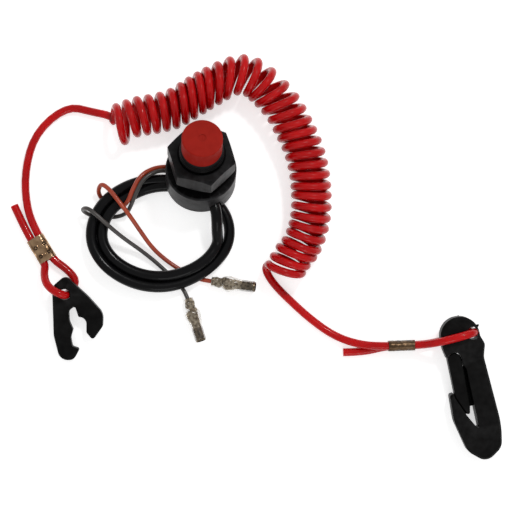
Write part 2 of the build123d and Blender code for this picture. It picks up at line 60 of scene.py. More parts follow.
Colour = tuple[float, float, float]
Table = tuple[tuple[float, float], ...]


class FarEnd(Enum):
    """What is on the far end of a cord."""

    BARE = "bare"
    CONNECTOR = "connector"


class Lay(Enum):
    """How a cord lies."""

    LOOSE = "loose"
    COILED = "coiled"


# Shared shader groups ------------------------------------------------------------------------


@dataclass
class GroupMaker:
    """Builds each shared shader group once."""

    coarse_share: float = 0.06
    fine_detail: float = 3.0
    coarse_detail: float = 2.0
    mottle_detail: float = 4.0
    mottle_range: tuple[float, float] = (0.35, 0.65)
    ridge_range: tuple[float, float] = (0.52, 0.62)
    patch_scale: float = 400.0
    made: dict[str, bpy.types.NodeTree] = field(default_factory=dict)

    def start(
        self, name: str, inputs: dict[str, tuple[str, object]], outputs: dict[str, str]
    ) -> tuple[bpy.types.NodeTree, bpy.types.Node, bpy.types.Node]:
        """Open a new group with its sockets.

        Args:
            name: name of the group.
            inputs: socket name to its kind and default value.
            outputs: socket name to its kind.

        Returns:
            The group, its input node and its output node.
        """
        tree = bpy.data.node_groups.new(name, "ShaderNodeTree")
        for label, (kind, default) in inputs.items():
            socket = tree.interface.new_socket(label, in_out="INPUT", socket_type=kind)
            socket.default_value = default
        for label, kind in outputs.items():
            tree.interface.new_socket(label, in_out="OUTPUT", socket_type=kind)
        self.made[name] = tree
        return tree, tree.nodes.new("NodeGroupInput"), tree.nodes.new("NodeGroupOutput")

    def grain(self) -> bpy.types.NodeTree:
        """Fine uneven surface.

        Returns:
            Group with Scale, Level and Spread in, and Roughness and Height out.
        """
        if "surface_grain" in self.made:
            return self.made["surface_grain"]
        tree, entry, leave = self.start(
            "surface_grain",
            {
                "Scale": ("NodeSocketFloat", 3000.0),
                "Level": ("NodeSocketFloat", 0.4),
                "Spread": ("NodeSocketFloat", 0.1),
            },
            {"Roughness": "NodeSocketFloat", "Height": "NodeSocketFloat"},
        )
        fine = cloud_node(tree, self.fine_detail)
        coarse = cloud_node(tree, self.coarse_detail)
        fewer = math_node(tree, "MULTIPLY", self.coarse_share)
        link(
            tree, (entry, "Scale", fewer, 0), (entry, "Scale", fine, "Scale"),
            (fewer, 0, coarse, "Scale"),
        )
        centred = math_node(tree, "SUBTRACT", 0.5)
        link(tree, (coarse, "Fac", centred, 0))
        spread = math_node(tree, "MULTIPLY_ADD")
        link(
            tree, (centred, 0, spread, 0), (entry, "Spread", spread, 1),
            (entry, "Level", spread, 2), (spread, 0, leave, "Roughness"),
        )
        height = math_node(tree, "ADD")
        link(
            tree, (fine, "Fac", height, 0), (coarse, "Fac", height, 1),
            (height, 0, leave, "Height"),
        )
        return tree

    def mottle(self) -> bpy.types.NodeTree:
        """Slow change between two colours.

        Returns:
            Group with Scale, Low and High in, and Color out.
        """
        if "colour_mottle" in self.made:
            return self.made["colour_mottle"]
        tree, entry, leave = self.start(
            "colour_mottle",
            {
                "Scale": ("NodeSocketFloat", 150.0),
                "Low": ("NodeSocketColor", (0.1, 0.1, 0.1, 1.0)),
                "High": ("NodeSocketColor", (0.2, 0.2, 0.2, 1.0)),
            },
            {"Color": "NodeSocketColor"},
        )
        cloud = cloud_node(tree, self.mottle_detail)
        link(tree, (entry, "Scale", cloud, "Scale"))
        part = range_node(tree, cloud.outputs["Fac"], self.mottle_range)
        mix = tree.nodes.new("ShaderNodeMix")
        mix.data_type = "RGBA"
        link(
            tree, (part, "Result", mix, "Factor"), (entry, "Low", mix, "A"),
            (entry, "High", mix, "B"), (mix, "Result", leave, "Color"),
        )
        return tree

    def wear_and_highlight(self) -> bpy.types.NodeTree:
        """Broken mask on the ridges of a shape, for rubbed wear and a painted highlight on the edges.

        Returns:
            Group with Amount in, and Mask out.
        """
        if "worn_and_highlit_edges" in self.made:
            return self.made["worn_and_highlit_edges"]
        tree, entry, leave = self.start(
            "worn_and_highlit_edges", {"Amount": ("NodeSocketFloat", 1.0)}, {"Mask": "NodeSocketFloat"}
        )
        shape = tree.nodes.new("ShaderNodeNewGeometry")
        ridge = range_node(tree, shape.outputs["Pointiness"], self.ridge_range)
        patches = cloud_node(tree, self.coarse_detail)
        patches.inputs["Scale"].default_value = self.patch_scale
        broken = math_node(tree, "MULTIPLY")
        link(tree, (ridge, "Result", broken, 0), (patches, "Fac", broken, 1))
        scaled = math_node(tree, "MULTIPLY")
        scaled.use_clamp = True
        link(tree, (broken, 0, scaled, 0), (entry, "Amount", scaled, 1), (scaled, 0, leave, "Mask"))
        return tree


def link(
    tree: bpy.types.NodeTree, *rows: tuple[bpy.types.Node, str | int, bpy.types.Node, str | int]
) -> None:
    """Link nodes.

    Args:
        tree: their tree.
        rows: each a node, its output, the next node and its input.
    """
    for giver, out, taker, into in rows:
        tree.links.new(giver.outputs[out], taker.inputs[into])


def math_node(tree: bpy.types.NodeTree, operation: str, second: float = 0.5) -> bpy.types.Node:
    """Add a Math node.

    Args:
        tree: tree that it goes into.
        operation: Blender's name of the operation.
        second: value of the second input.

    Returns:
        The node.
    """
    node = tree.nodes.new("ShaderNodeMath")
    node.operation = operation
    node.inputs[1].default_value = second
    return node


def cloud_node(tree: bpy.types.NodeTree, detail: float) -> bpy.types.Node:
    """Add a noise texture that stays with the piece.

    Args:
        tree: tree that it goes into.
        detail: how many finer layers it has.

    Returns:
        The noise texture's node.
    """
    place = tree.nodes.new("ShaderNodeTexCoord")
    cloud = tree.nodes.new("ShaderNodeTexNoise")
    cloud.inputs["Detail"].default_value = detail
    link(tree, (place, "Object", cloud, "Vector"))
    return cloud


def range_node(
    tree: bpy.types.NodeTree, value: bpy.types.NodeSocket, span: tuple[float, float]
) -> bpy.types.Node:
    """Add a node that turns a span of values into 0 to 1.

    Args:
        tree: tree that it goes into.
        value: socket that gives the value.
        span: value that becomes 0, and value that becomes 1.

    Returns:
        The node.
    """
    node = tree.nodes.new("ShaderNodeMapRange")
    node.inputs["From Min"].default_value, node.inputs["From Max"].default_value = span
    tree.links.new(value, node.inputs["Value"])
    return node


GROUPS = GroupMaker()


def place_group(
    tree: bpy.types.NodeTree, group: bpy.types.NodeTree, values: dict[str, object]
) -> bpy.types.Node:
    """Put a shared group into a material.

    Args:
        tree: the material's tree.
        group: the group.
        values: input name to value.

    Returns:
        The group's node.
    """
    node = tree.nodes.new("ShaderNodeGroup")
    node.node_tree = group
    for label, value in values.items():
        node.inputs[label].default_value = (*value, 1.0) if isinstance(value, tuple) else value
    return node


# Finishes ------------------------------------------------------------------------------------


def roughen(
    tree: bpy.types.NodeTree, scale: float, level: float, spread: float, depth: float, edge_radius: float
) -> None:
    """Give a material's shader its uneven gloss and its fine relief.

    Args:
        tree: the material's tree.
        scale: scale of the grain.
        level: middle of the roughness.
        spread: how far the roughness strays.
        depth: depth of the relief, in metres.
        edge_radius: radius that edges seem to have, in metres.
    """
    shader = tree.nodes["Principled BSDF"]
    grain = place_group(tree, GROUPS.grain(), {"Scale": scale, "Level": level, "Spread": spread})
    link(tree, (grain, "Roughness", shader, "Roughness"))
    bump = tree.nodes.new("ShaderNodeBump")
    bump.inputs["Distance"].default_value = depth
    link(tree, (grain, "Height", bump, "Height"))
    if edge_radius > 0:
        soften = tree.nodes.new("ShaderNodeBevel")
        soften.samples = 4
        soften.inputs["Radius"].default_value = edge_radius
        link(tree, (soften, "Normal", bump, "Normal"))
    link(tree, (bump, "Normal", shader, "Normal"))


@dataclass(frozen=True)
class Finish:
    """A finish of a surface: two colours, an uneven gloss and a fine relief."""

    name: str
    slot: str
    low: Colour
    high: Colour
    mottle_scale: float = 150.0
    roughness: float = 0.4
    spread: float = 0.15
    grain_scale: float = 3000.0
    grain_depth: float = 0.00002
    edge_radius: float = 0.0
    metallic: float = 0.0
    coat: float = 0.0
    coat_roughness: float = 0.1
    specular: float = 0.5
    scatter: float = 0.0
    scatter_radius: Colour = (0.001, 0.0003, 0.0002)
    transmission: float = 0.0
    ior: float = 1.5
    # lighter colour on the ridges: rubbed wear and a painted highlight on the edges
    wear_and_highlight: float = 0.0
    wear_and_highlight_colour: Colour = (0.2, 0.2, 0.2)

    def material(self) -> bpy.types.Material:
        """The material of this finish, built on first use.

        Returns:
            The material.
        """
        known = bpy.data.materials.get(self.name)
        if known is not None:
            return known
        made = bpy.data.materials.new(self.name)
        made.use_nodes = True
        tree = made.node_tree
        shader = tree.nodes["Principled BSDF"]
        cloud = place_group(
            tree, GROUPS.mottle(), {"Scale": self.mottle_scale, "Low": self.low, "High": self.high}
        )
        colour = cloud.outputs["Color"]
        # Lighter ridges: partly rubbed wear, partly a painted highlight on the edges.
        if self.wear_and_highlight > 0:
            mask = place_group(tree, GROUPS.wear_and_highlight(), {"Amount": self.wear_and_highlight})
            mix = tree.nodes.new("ShaderNodeMix")
            mix.data_type = "RGBA"
            mix.inputs["B"].default_value = (*self.wear_and_highlight_colour, 1.0)
            link(tree, (mask, "Mask", mix, "Factor"))
            tree.links.new(colour, mix.inputs["A"])
            colour = mix.outputs["Result"]
        tree.links.new(colour, shader.inputs["Base Color"])
        roughen(tree, self.grain_scale, self.roughness, self.spread, self.grain_depth, self.edge_radius)
        constants = {
            "Metallic": self.metallic,
            "Coat Weight": self.coat,
            "Coat Roughness": self.coat_roughness,
            "Specular IOR Level": self.specular,
            "Subsurface Weight": self.scatter,
            "Subsurface Radius": self.scatter_radius,
            "Subsurface Scale": 1.0,
            "Transmission Weight": self.transmission,
            "IOR": self.ior,
        }
        for label, value in constants.items():
            shader.inputs[label].default_value = value
        return made


# Both black mouldings get lighter ridges: rubbed wear and a painted highlight on the edges.
BLACK_MOULDING = Finish(
    name="black_moulding", slot="black_plastic", low=(0.0022, 0.002, 0.0021),
    high=(0.0045, 0.0041, 0.0043), roughness=0.36, spread=0.22, grain_scale=5200.0,
    grain_depth=0.000018, edge_radius=0.00035, coat=0.03, coat_roughness=0.14, specular=0.08,
    wear_and_highlight=1.2, wear_and_highlight_colour=(0.05, 0.05, 0.052),
)
FLEXIBLE_MOULDING = Finish(
    name="flexible_black_moulding", slot="black_plastic", low=(0.0016, 0.0014, 0.0014),
    high=(0.0034, 0.0032, 0.0031), roughness=0.4, spread=0.2, grain_scale=4200.0,
    grain_depth=0.000022, edge_radius=0.0004, specular=0.05, wear_and_highlight=0.8,
    wear_and_highlight_colour=(0.03, 0.03, 0.03),
)
RED_BUTTON = Finish(
    name="matt_red_moulding", slot="red_plastic", low=(0.335, 0.0105, 0.005),
    high=(0.38, 0.0135, 0.007), mottle_scale=260.0, roughness=0.55, spread=0.12, grain_scale=6000.0,
    grain_depth=0.00002, edge_radius=0.0003, specular=0.1,
)
RED_CORD = Finish(
    name="glossy_red_vinyl", slot="red_cord", low=(0.46, 0.0022, 0.0034),
    high=(0.58, 0.0036, 0.0052), mottle_scale=90.0, roughness=0.2, spread=0.1, grain_scale=700.0,
    grain_depth=0.00004, coat=0.3, coat_roughness=0.035, specular=0.1, scatter=0.75,
    scatter_radius=(0.005, 0.0003, 0.0003),
)
BLACK_SLEEVE = Finish(
    name="glossy_black_vinyl", slot="black_sleeve", low=(0.0016, 0.0016, 0.002),
    high=(0.0036, 0.0036, 0.0042), mottle_scale=60.0, roughness=0.3, spread=0.2, grain_scale=420.0,
    grain_depth=0.00009, coat=0.12, coat_roughness=0.06, specular=0.1,
)
ORANGE_INSULATION = Finish(
    name="orange_vinyl", slot="orange_insulation", low=(0.38, 0.045, 0.015),
    high=(0.48, 0.065, 0.022), mottle_scale=120.0, roughness=0.34, spread=0.1, grain_scale=900.0,
    grain_depth=0.00003, coat=0.15,
)
GREY_INSULATION = replace(
    ORANGE_INSULATION, name="grey_vinyl", slot="grey_insulation", low=(0.05, 0.045, 0.042),
    high=(0.08, 0.072, 0.067), roughness=0.36,
)
PRESSED_BRASS = Finish(
    name="pressed_brass", slot="brass", low=(0.2, 0.115, 0.06), high=(0.56, 0.37, 0.22),
    mottle_scale=240.0, roughness=0.2, spread=0.2, grain_scale=1500.0, grain_depth=0.00003,
    metallic=1.0,
)
# A darker copy of the pressed brass: painted shade on the upright ferrule.
SHADED_BRASS = replace(
    PRESSED_BRASS, name="shaded_brass", low=(0.08, 0.048, 0.027), high=(0.15, 0.095, 0.055),
    mottle_scale=260.0, roughness=0.34, spread=0.25,
)
DULL_BRASS = replace(
    PRESSED_BRASS, name="dull_brass", low=(0.10, 0.075, 0.045), high=(0.22, 0.17, 0.11),
    mottle_scale=300.0, roughness=0.34, spread=0.3, grain_depth=0.00004,
)
SPRING_STEEL = Finish(
    name="bright_spring_steel", slot="spring_steel", low=(0.42, 0.42, 0.43),
    high=(0.55, 0.55, 0.56), roughness=0.3, metallic=1.0,
)
LAMINATE = Finish(
    name="laminate", slot="board", low=(0.16, 0.08, 0.035), high=(0.24, 0.13, 0.06), roughness=0.5,
)
SEAL_RUBBER = Finish(
    name="black_rubber", slot="seal_rubber", low=(0.012, 0.012, 0.012), high=(0.02, 0.02, 0.02),
    roughness=0.6,
)
# Dark brass that paints shade: in the rings round the ferrule's dimples and inside the socket's mouth.
PAINTED_SHADE_BRASS = Finish(
    name="painted_shade_brass", slot="brass", low=(0.012, 0.007, 0.004), high=(0.035, 0.02, 0.012),
    mottle_scale=900.0, roughness=0.5, metallic=0.6, specular=0.2,
)
CLEAR_COVER = Finish(
    name="clear_soft_cover", slot="clear_soft_plastic", low=(0.15, 0.11, 0.068),
    high=(0.66, 0.57, 0.43), mottle_scale=900.0, roughness=0.14, grain_scale=500.0,
    grain_depth=0.00005, coat=0.3, coat_roughness=0.2, transmission=0.5, ior=1.35,
)
# A darker copy of the cover: painted shade on its mouth end.
SHADED_COVER = replace(
    CLEAR_COVER, name="shaded_soft_cover", low=(0.04, 0.03, 0.02), high=(0.2, 0.155, 0.105),
    transmission=0.3,
)


# Shape tools ---------------------------------------------------------------------------------


def add_object(name: str, data: bpy.types.ID) -> bpy.types.Object:
    """Link new data into the scene.

    Args:
        name: name of the object.
        data: mesh or curve.

    Returns:
        The object.
    """
    made = bpy.data.objects.new(name, data)
    bpy.context.scene.collection.objects.link(made)
    return made


def mesh_piece(
    name: str, points: list[Vector], faces: list[tuple[int, ...]], smooth: bool = True
) -> bpy.types.Object:
    """Make a mesh object from points in millimetres.

    Args:
        name: name of the piece.
        points: its vertices.
        faces: its faces.
        smooth: whether its faces are shaded smooth.

    Returns:
        The object.
    """
    mesh = bpy.data.meshes.new(name)
    mesh.from_pydata([p * MM for p in points], [], faces)
    mesh.validate()
    mesh.polygons.foreach_set("use_smooth", [smooth] * len(mesh.polygons))
    mesh.update()
    return add_object(name, mesh)


def posed(at: Point, angle: float, lean: float, axis: str) -> Matrix:
    """Place of a frame that leans about one of its axes and is then turned about Z.

    Args:
        at: its origin, in millimetres.
        angle: its turn about Z, in degrees.
        lean: its lean, in degrees.
        axis: the axis that it leans about, X or Y.

    Returns:
        The place.
    """
    turn = Matrix.Rotation(math.radians(angle), 4, "Z")
    return Matrix.Translation(at) @ turn @ Matrix.Rotation(math.radians(lean), 4, axis)


def ring_faces(rings: int, around: int, closed: bool = False) -> list[tuple[int, ...]]:
    """Quads between rings of vertices.

    Args:
        rings: number of rings.
        around: vertices in each ring.
        closed: whether the last ring joins the first.

    Returns:
        The faces.
    """
    faces = []
    for i in range(rings if closed else rings - 1):
        here = i * around
        there = ((i + 1) % rings) * around
        for j in range(around):
            k = (j + 1) % around
            faces.append((here + j, here + k, there + k, there + j))
    return faces


def ease(part: float) -> float:
    """Smooth step from 0 to 1 over a part that is held between 0 and 1."""
    return 0.5 - 0.5 * math.cos(min(1.0, max(0.0, part)) * math.pi)


def lathe(
    name: str,
    profile: list[tuple[float, float]],
    place: Matrix,
    around: int,
    crease: Callable[[Vector], float] | None = None,
) -> bpy.types.Object:
    """Turn a closed (radius, height) profile about its axis.

    Args:
        name: name of the piece.
        profile: its points in order.
        place: where its own frame lies, in millimetres.
        around: steps round the axis.
        crease: how far out a spot of the surface is pushed.

    Returns:
        The object.
    """
    points = []
    for j in range(around):
        c, s = math.cos(2 * math.pi * j / around), math.sin(2 * math.pi * j / around)
        for r, z in profile:
            push = crease(Vector((r * c, r * s, z))) if crease else 0.0
            points.append(place @ Vector(((r + push) * c, (r + push) * s, z)))
    return mesh_piece(name, points, ring_faces(around, len(profile), closed=True))


def nurbs_data(name: str, points: list[Point], per_span: int) -> bpy.types.Curve:
    """A smooth open line with the given control points.

    Args:
        name: name of the data.
        points: control points in millimetres.
        per_span: steps between two control points.

    Returns:
        The curve data, with no thickness.
    """
    data = bpy.data.curves.new(name, "CURVE")
    data.dimensions = "3D"
    data.resolution_u = per_span
    line = data.splines.new("NURBS")
    line.points.add(len(points) - 1)
    for control, (x, y, z) in zip(line.points, points):
        control.co = (x * MM, y * MM, z * MM, 1.0)
    line.order_u = 3
    line.use_endpoint_u = True
    return data


def read_line(name: str, points: list[Point], per_span: int = 24) -> list[Vector]:
    """Points along the smooth line of a route.

    Args:
        name: name of the data.
        points: control points in millimetres.
        per_span: steps between two control points.

    Returns:
        The points, in millimetres.
    """
    data = nurbs_data(name, points, per_span)
    carrier = bpy.data.objects.new(name, data)
    bpy.context.scene.collection.objects.link(carrier)
    mesh = bpy.data.meshes.new_from_object(carrier)
    found = [v.co / MM for v in mesh.vertices]
    bpy.data.objects.remove(carrier)
    bpy.data.meshes.remove(mesh)
    bpy.data.curves.remove(data)
    return found


def line_length(points: list[Vector]) -> float:
    """Length of a line through points."""
    return sum((b - a).length for a, b in zip(points, points[1:]))


@dataclass(frozen=True)
class Cord:
    """A round cord along a route."""

    name: str
    points: list[Point]
    diameter: float
    finish: Finish
    per_span: int = 10

    def build(
        self, nodes: tuple[str, ...], far_end: FarEnd, lay: Lay, with_pieces: list[bpy.types.Object]
    ) -> None:
        """Make the cord as a thick line with closed ends, and log its length.

        Args:
            nodes: nodes that it stands for.
            far_end: what is on its far end; not used.
            lay: how it lies; not used.
            with_pieces: pieces that hang on it; not used.
        """
        data = nurbs_data(self.name, self.points, self.per_span)
        data.bevel_depth = self.diameter / 2 * MM
        data.bevel_resolution = 5
        data.use_fill_caps = True
        length = line_length(read_line(self.name + "_line", self.points))
        piece = settle(add_object(self.name, data), self.finish, *nodes)
        LOG.info("%s: %.0f mm long", self.name, length)


def dress(node: str, finish: Finish) -> None:
    """Give a node of the frame its finish.

    Args:
        node: name of the node.
        finish: its finish.
    """
    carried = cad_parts[node]
    carried.data.materials.clear()
    carried.data.materials.append(finish.material())
    LOG.info("%s: carried over, %s", node, finish.name)


def settle(piece: bpy.types.Object, finish: Finish, *nodes: str) -> bpy.types.Object:
    """Dress a new piece, let it ride on the set and stand for nodes.

    Args:
        piece: the piece.
        finish: its finish.
        nodes: nodes that it stands for.

    Returns:
        The piece.
    """
    piece.data.materials.clear()
    piece.data.materials.append(finish.material())
    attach(piece, SET_BODY)
    if nodes:
        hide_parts(*nodes)
    LOG.info("%s: built, %s", piece.name, finish.name)
    return piece


def dress_faces(
    piece: bpy.types.Object, finish: Finish, place: Matrix, chosen: Callable[[Vector], bool]
) -> None:
    """Give some faces of a piece a second finish.

    Args:
        piece: the piece, already dressed.
        finish: the second finish.
        place: where the piece's own frame lies, in millimetres.
        chosen: tells of a face's middle, in the piece's own frame, whether it gets the finish.
    """
    number = len(piece.data.materials)
    piece.data.materials.append(finish.material())
    back = place.inverted()
    for face in piece.data.polygons:
        if chosen(back @ (face.center / MM)):
            face.material_index = number


# Switch --------------------------------------------------------------------------------------


@dataclass
class Switch:
    """The round body with its barrel, nut, button and inner pieces.

    The thread's profile has (rise, share of the pitch) rows, where a rise of 1 is the full depth.
    """

    at: Point = (-32.0, 47.8, 5.304)
    turn: float = -8.0
    tilt: float = 21.0
    travel: float = 4.5
    barrel_r: float = 9.0
    low_thread: tuple[float, float] = (12.6, 15.8)
    high_thread: tuple[float, float] = (25.0, 28.1)
    thread_pitch: float = 1.5
    thread_depth: float = 0.32
    thread_steps: int = 56
    run_out: float = 0.4
    profile: Table = (
        (-0.15, -0.46), (0.01, -0.414), (1.0, -0.1012), (1.0, 0.1012), (0.01, 0.414), (-0.15, 0.46),
    )

    def place(self) -> Matrix:
        """Where the switch lies, in millimetres."""
        return posed(self.at, self.turn, -self.tilt, "X")

    def thread(self, name: str, low: float, high: float) -> bpy.types.Object:
        """One stretch of the barrel's thread, which runs out at both ends.

        Args:
            name: name of the piece.
            low: height of its first turn.
            high: height of its last turn.

        Returns:
            The thread.
        """
        steps = self.thread_steps
        count = int((high - low) / self.thread_pitch * steps)
        place = self.place()
        points = []
        for i in range(count + 1):
            angle = 2 * math.pi * i / steps
            z = low + self.thread_pitch * i / steps
            fade = min(1.0, i / (steps * self.run_out), (count - i) / (steps * self.run_out))
            for rise, part in self.profile:
                r = self.barrel_r + (self.thread_depth * fade if rise == 1.0 else rise)
                height = z + self.thread_pitch * part
                points.append(place @ Vector((r * math.cos(angle), r * math.sin(angle), height)))
        corners = len(self.profile)
        faces = ring_faces(count + 1, corners)
        faces.append(tuple(reversed(range(corners))))
        faces.append(tuple(range(count * corners, (count + 1) * corners)))
        return settle(mesh_piece(name, points, faces, smooth=False), BLACK_MOULDING)

    def shorten_spring(self) -> None:
        """Give the return spring a mesh of its own."""
        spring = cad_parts["return_spring"]
        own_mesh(spring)

    def build(self) -> None:
        """Build and dress the switch."""
        for node in ("switch_housing", "hex_nut", "rear_cover"):
            dress(node, BLACK_MOULDING)
        dress("kill_button", RED_BUTTON)
        dress("stem_seal", SEAL_RUBBER)
        dress("terminal_board", LAMINATE)
        for node in ("return_spring", "retaining_clip"):
            dress(node, SPRING_STEEL)
        for node in ("moving_contact", "orange_terminal", "grey_terminal"):
            dress(node, PRESSED_BRASS)
        self.shorten_spring()
        self.thread("barrel_thread_low", *self.low_thread)
        self.thread("barrel_thread_high", *self.high_thread)


# Sleeve and wires ----------------------------------------------------------------------------


@dataclass
class SleeveRing:
    """The cable sleeve: out of the body's notch and twice round."""

    diameter: float = 4.7
    pitch: float = 4.6
    half_x: float = 26.9
    half_y: float = 20.6
    centre: tuple[float, float] = (-48.9, 25.3)
    height: float = 4.6
    slope: tuple[float, float] = (-0.05, -0.07)
    per_turn: int = 16
    turns: float = 1.753
    cross_from: float = 0.62
    cross_over: float = 0.26
    pressed_in: float = 1.2
    pressed_up: float = 1.7
    pressed_at: float = -44.0
    pressed_span: float = 28.0
    kink: float = 0.7
    kink_step: float = 1.7
    kink_at: tuple[float, float] = (2.0, 5.0)
    first_angle: float = -14.0
    lead: tuple[Point, ...] = (
        (-27.3, 40.95, 10.8),
        (-25.4, 35.2, 12.8),
        (-24.9, 30.4, 12.0),
        (-25.0, 26.0, 9.0),
    )

    def ring_point(self, angle: float, outward: float) -> Point:
        """A point of the ring's tilted oval.

        Args:
            angle: angle from +X in degrees.
            outward: how far outside the middle line it lies.

        Returns:
            The point.
        """
        c = math.cos(math.radians(angle))
        s = math.sin(math.radians(angle))
        dx = (self.half_x + outward) * c
        dy = (self.half_y + outward) * s
        z = self.height + self.slope[0] * dx + self.slope[1] * dy
        return (self.centre[0] + dx, self.centre[1] + dy, z)

    def route(self) -> list[Point]:
        """Control points of the sleeve from the notch to its mouth.

        Returns:
            The points, in millimetres.
        """
        points = list(self.lead)
        steps = int(self.per_turn * self.turns)
        shrink = math.cos(math.pi / self.per_turn)
        for i in range(steps + 1):
            part = i / self.per_turn
            angle = self.first_angle - 360.0 * part
            crossed = min(1.0, max(0.0, (part - self.cross_from) / self.cross_over))
            outward = self.pitch * (crossed - 0.5)
            off = ((angle - self.pressed_at + 180.0) % 360.0 - 180.0) / self.pressed_span
            pressed = math.exp(-off * off)
            outward -= self.pressed_in * pressed * crossed
            spot = Vector((self.kink_step * (i % self.per_turn), *self.kink_at))
            outward += self.kink * noise.noise(spot)
            x, y, z = self.ring_point(angle, outward)
            z += self.pressed_up * pressed * (1.0 - 2.0 * crossed)
            x = self.centre[0] + (x - self.centre[0]) / shrink
            y = self.centre[1] + (y - self.centre[1]) / shrink
            points.append((x, y, z))
        return points

    def build(self) -> None:
        """Build the sleeve."""
        cord = Cord("cable_sleeve", self.route(), self.diameter, BLACK_SLEEVE)
        cord.build(("sleeve_lead", "sleeve_ring"), FarEnd.BARE, Lay.COILED, [])


@dataclass
class Connector:
    """A bullet socket in its clear cover, on the end of a wire.

    The rows of crimp, step and mouth count from the crimp's radius at the start, from the outer
    radius at the shoulder and from the outer radius at the end.
    """

    colour: str
    at: Point
    angle: float
    wire_d: float
    pitch: float = 8.0
    socket_d: float = 4.2
    socket_wall: float = 0.35
    crimp_d: float = 3.0
    start: float = 3.4
    shoulder: float = 8.6
    end: float = 18.8
    cover_end: float = 18.2
    cover_wall: float = 0.5
    film: float = 0.3
    fit: float = 0.06
    neck_d: float = 4.2
    neck_length: float = 3.2
    bulge_d: float = 6.4
    bulge_at: float = 7.8
    grip_at: float = 12.6
    # from this height to the mouth end the cover gets painted shade
    shade_from: float = 13.0
    cover_steps: int = 36
    sealed_steps: int = 3
    crumple: float = 0.6
    crumple_fade: tuple[float, float] = (3.0, 4.0)
    crumple_scale: float = 0.5
    crumple_stretch: float = 0.8
    crimp: Table = ((0.0, 0.0), (0.12, 0.5), (0.1, 1.6), (-0.2, 2.1), (-0.15, 2.7), (0.05, 3.2))
    step: Table = ((-0.6, -0.9), (-0.15, -0.15), (0.0, 0.3))
    mouth: Table = (
        (0.0, -2.9), (-0.16, -2.5), (-0.16, -2.1), (0.0, -1.7), (0.0, -0.12), (-0.1, 0.0), (-0.27, 0.0),
        (-0.35, -0.15),
    )
    web: tuple[float, float] = (0.2, -0.7)

    def place(self) -> Matrix:
        """Where the connector lies, +Z from the wire to the mouth."""
        return posed(self.at, self.angle, 90.0 - self.pitch, "Y")

    def point(self, z: float) -> Point:
        """A point on the connector's axis."""
        return tuple(self.place() @ Vector((0.0, 0.0, z)))

    def socket(self) -> bpy.types.Object:
        """The pressed socket: crimp, step up to the wide part, mouth, and the web inside.

        Returns:
            The socket, not dressed yet.
        """
        outer = self.socket_d / 2
        wire = self.wire_d / 2 + self.fit
        inner_face, wire_face = self.web
        profile = [
            (wire, self.start),
            *((self.crimp_d / 2 + dr, self.start + dz) for dr, dz in self.crimp),
            *((outer + dr, self.shoulder + dz) for dr, dz in self.step),
            *((outer + dr, self.end + dz) for dr, dz in self.mouth),
            (outer - self.socket_wall, self.shoulder + inner_face),
            (wire, self.shoulder + wire_face),
        ]
        return lathe(f"{self.colour}_socket", profile, self.place(), around=40)

    def crease(self, spot: Vector) -> float:
        """How far the cover is crumpled outwards: not at all at its two ends.

        Args:
            spot: a spot of its surface.

        Returns:
            The distance.
        """
        near_neck, near_grip = self.crumple_fade
        share = max(0.0, min(1.0, spot.z / near_neck, (self.grip_at - spot.z) / near_grip))
        cloud = Vector((spot.x, spot.y, self.crumple_stretch * spot.z)) * self.crumple_scale
        return self.crumple * share * noise.noise(cloud)

    def cover(self) -> bpy.types.Object:
        """The soft cover, wide over the crimp and narrow over the socket.

        Returns:
            The cover, not dressed yet.
        """
        grip = self.socket_d / 2 + self.film
        bulge = self.bulge_d / 2
        neck = self.neck_d / 2
        outer = []
        for i in range(self.cover_steps + 1):
            z = self.cover_end * i / self.cover_steps
            widened = ease((z - self.neck_length) / (self.bulge_at - self.neck_length))
            narrowed = ease((z - self.bulge_at) / (self.grip_at - self.bulge_at))
            r = neck + (bulge - neck) * widened
            outer.append((r + (grip - r) * narrowed, z))
        bore = self.socket_d / 2 + self.fit
        inner = [(max(r - self.cover_wall, bore), z) for r, z in reversed(outer[self.sealed_steps :])]
        wire = self.wire_d / 2 + self.fit
        inner += [(wire, outer[self.sealed_steps - 1][1]), (wire, 0.0)]
        return lathe(f"{self.colour}_cover", outer + inner, self.place(), around=44, crease=self.crease)

    def build(self) -> list[bpy.types.Object]:
        """Build both pieces.

        Returns:
            The socket and the cover.
        """
        socket = settle(self.socket(), DULL_BRASS, f"{self.colour}_receptacle")
        bore = self.socket_d / 2 - self.socket_wall + self.fit
        # Painted shade inside the socket beyond its shoulder.
        dress_faces(
            socket,
            PAINTED_SHADE_BRASS,
            self.place(),
            lambda spot: spot.z > self.shoulder and math.hypot(spot.x, spot.y) < bore,
        )
        cover = settle(self.cover(), CLEAR_COVER, f"{self.colour}_connector_cover")
        # Painted shade on the cover's mouth end.
        dress_faces(cover, SHADED_COVER, self.place(), lambda spot: spot.z > self.shade_from)
        return [socket, cover]


@dataclass
class Wire:
    """One insulated wire from the sleeve's mouth to its connector."""

    colour: str
    diameter: float
    finish: Finish
    route: tuple[Point, ...]
    connector: Connector
    before: float = -2.4
    inside: float = 7.0

    def build(self) -> None:
        """Build the wire with its connector."""
        ends = [self.connector.point(self.before), self.connector.point(self.inside)]
        cord = Cord(f"{self.colour}_lead", [*self.route, *ends], self.diameter, self.finish)
        cord.build((f"{self.colour}_wire",), FarEnd.CONNECTOR, Lay.LOOSE, self.connector.build())


# Lanyard -------------------------------------------------------------------------------------


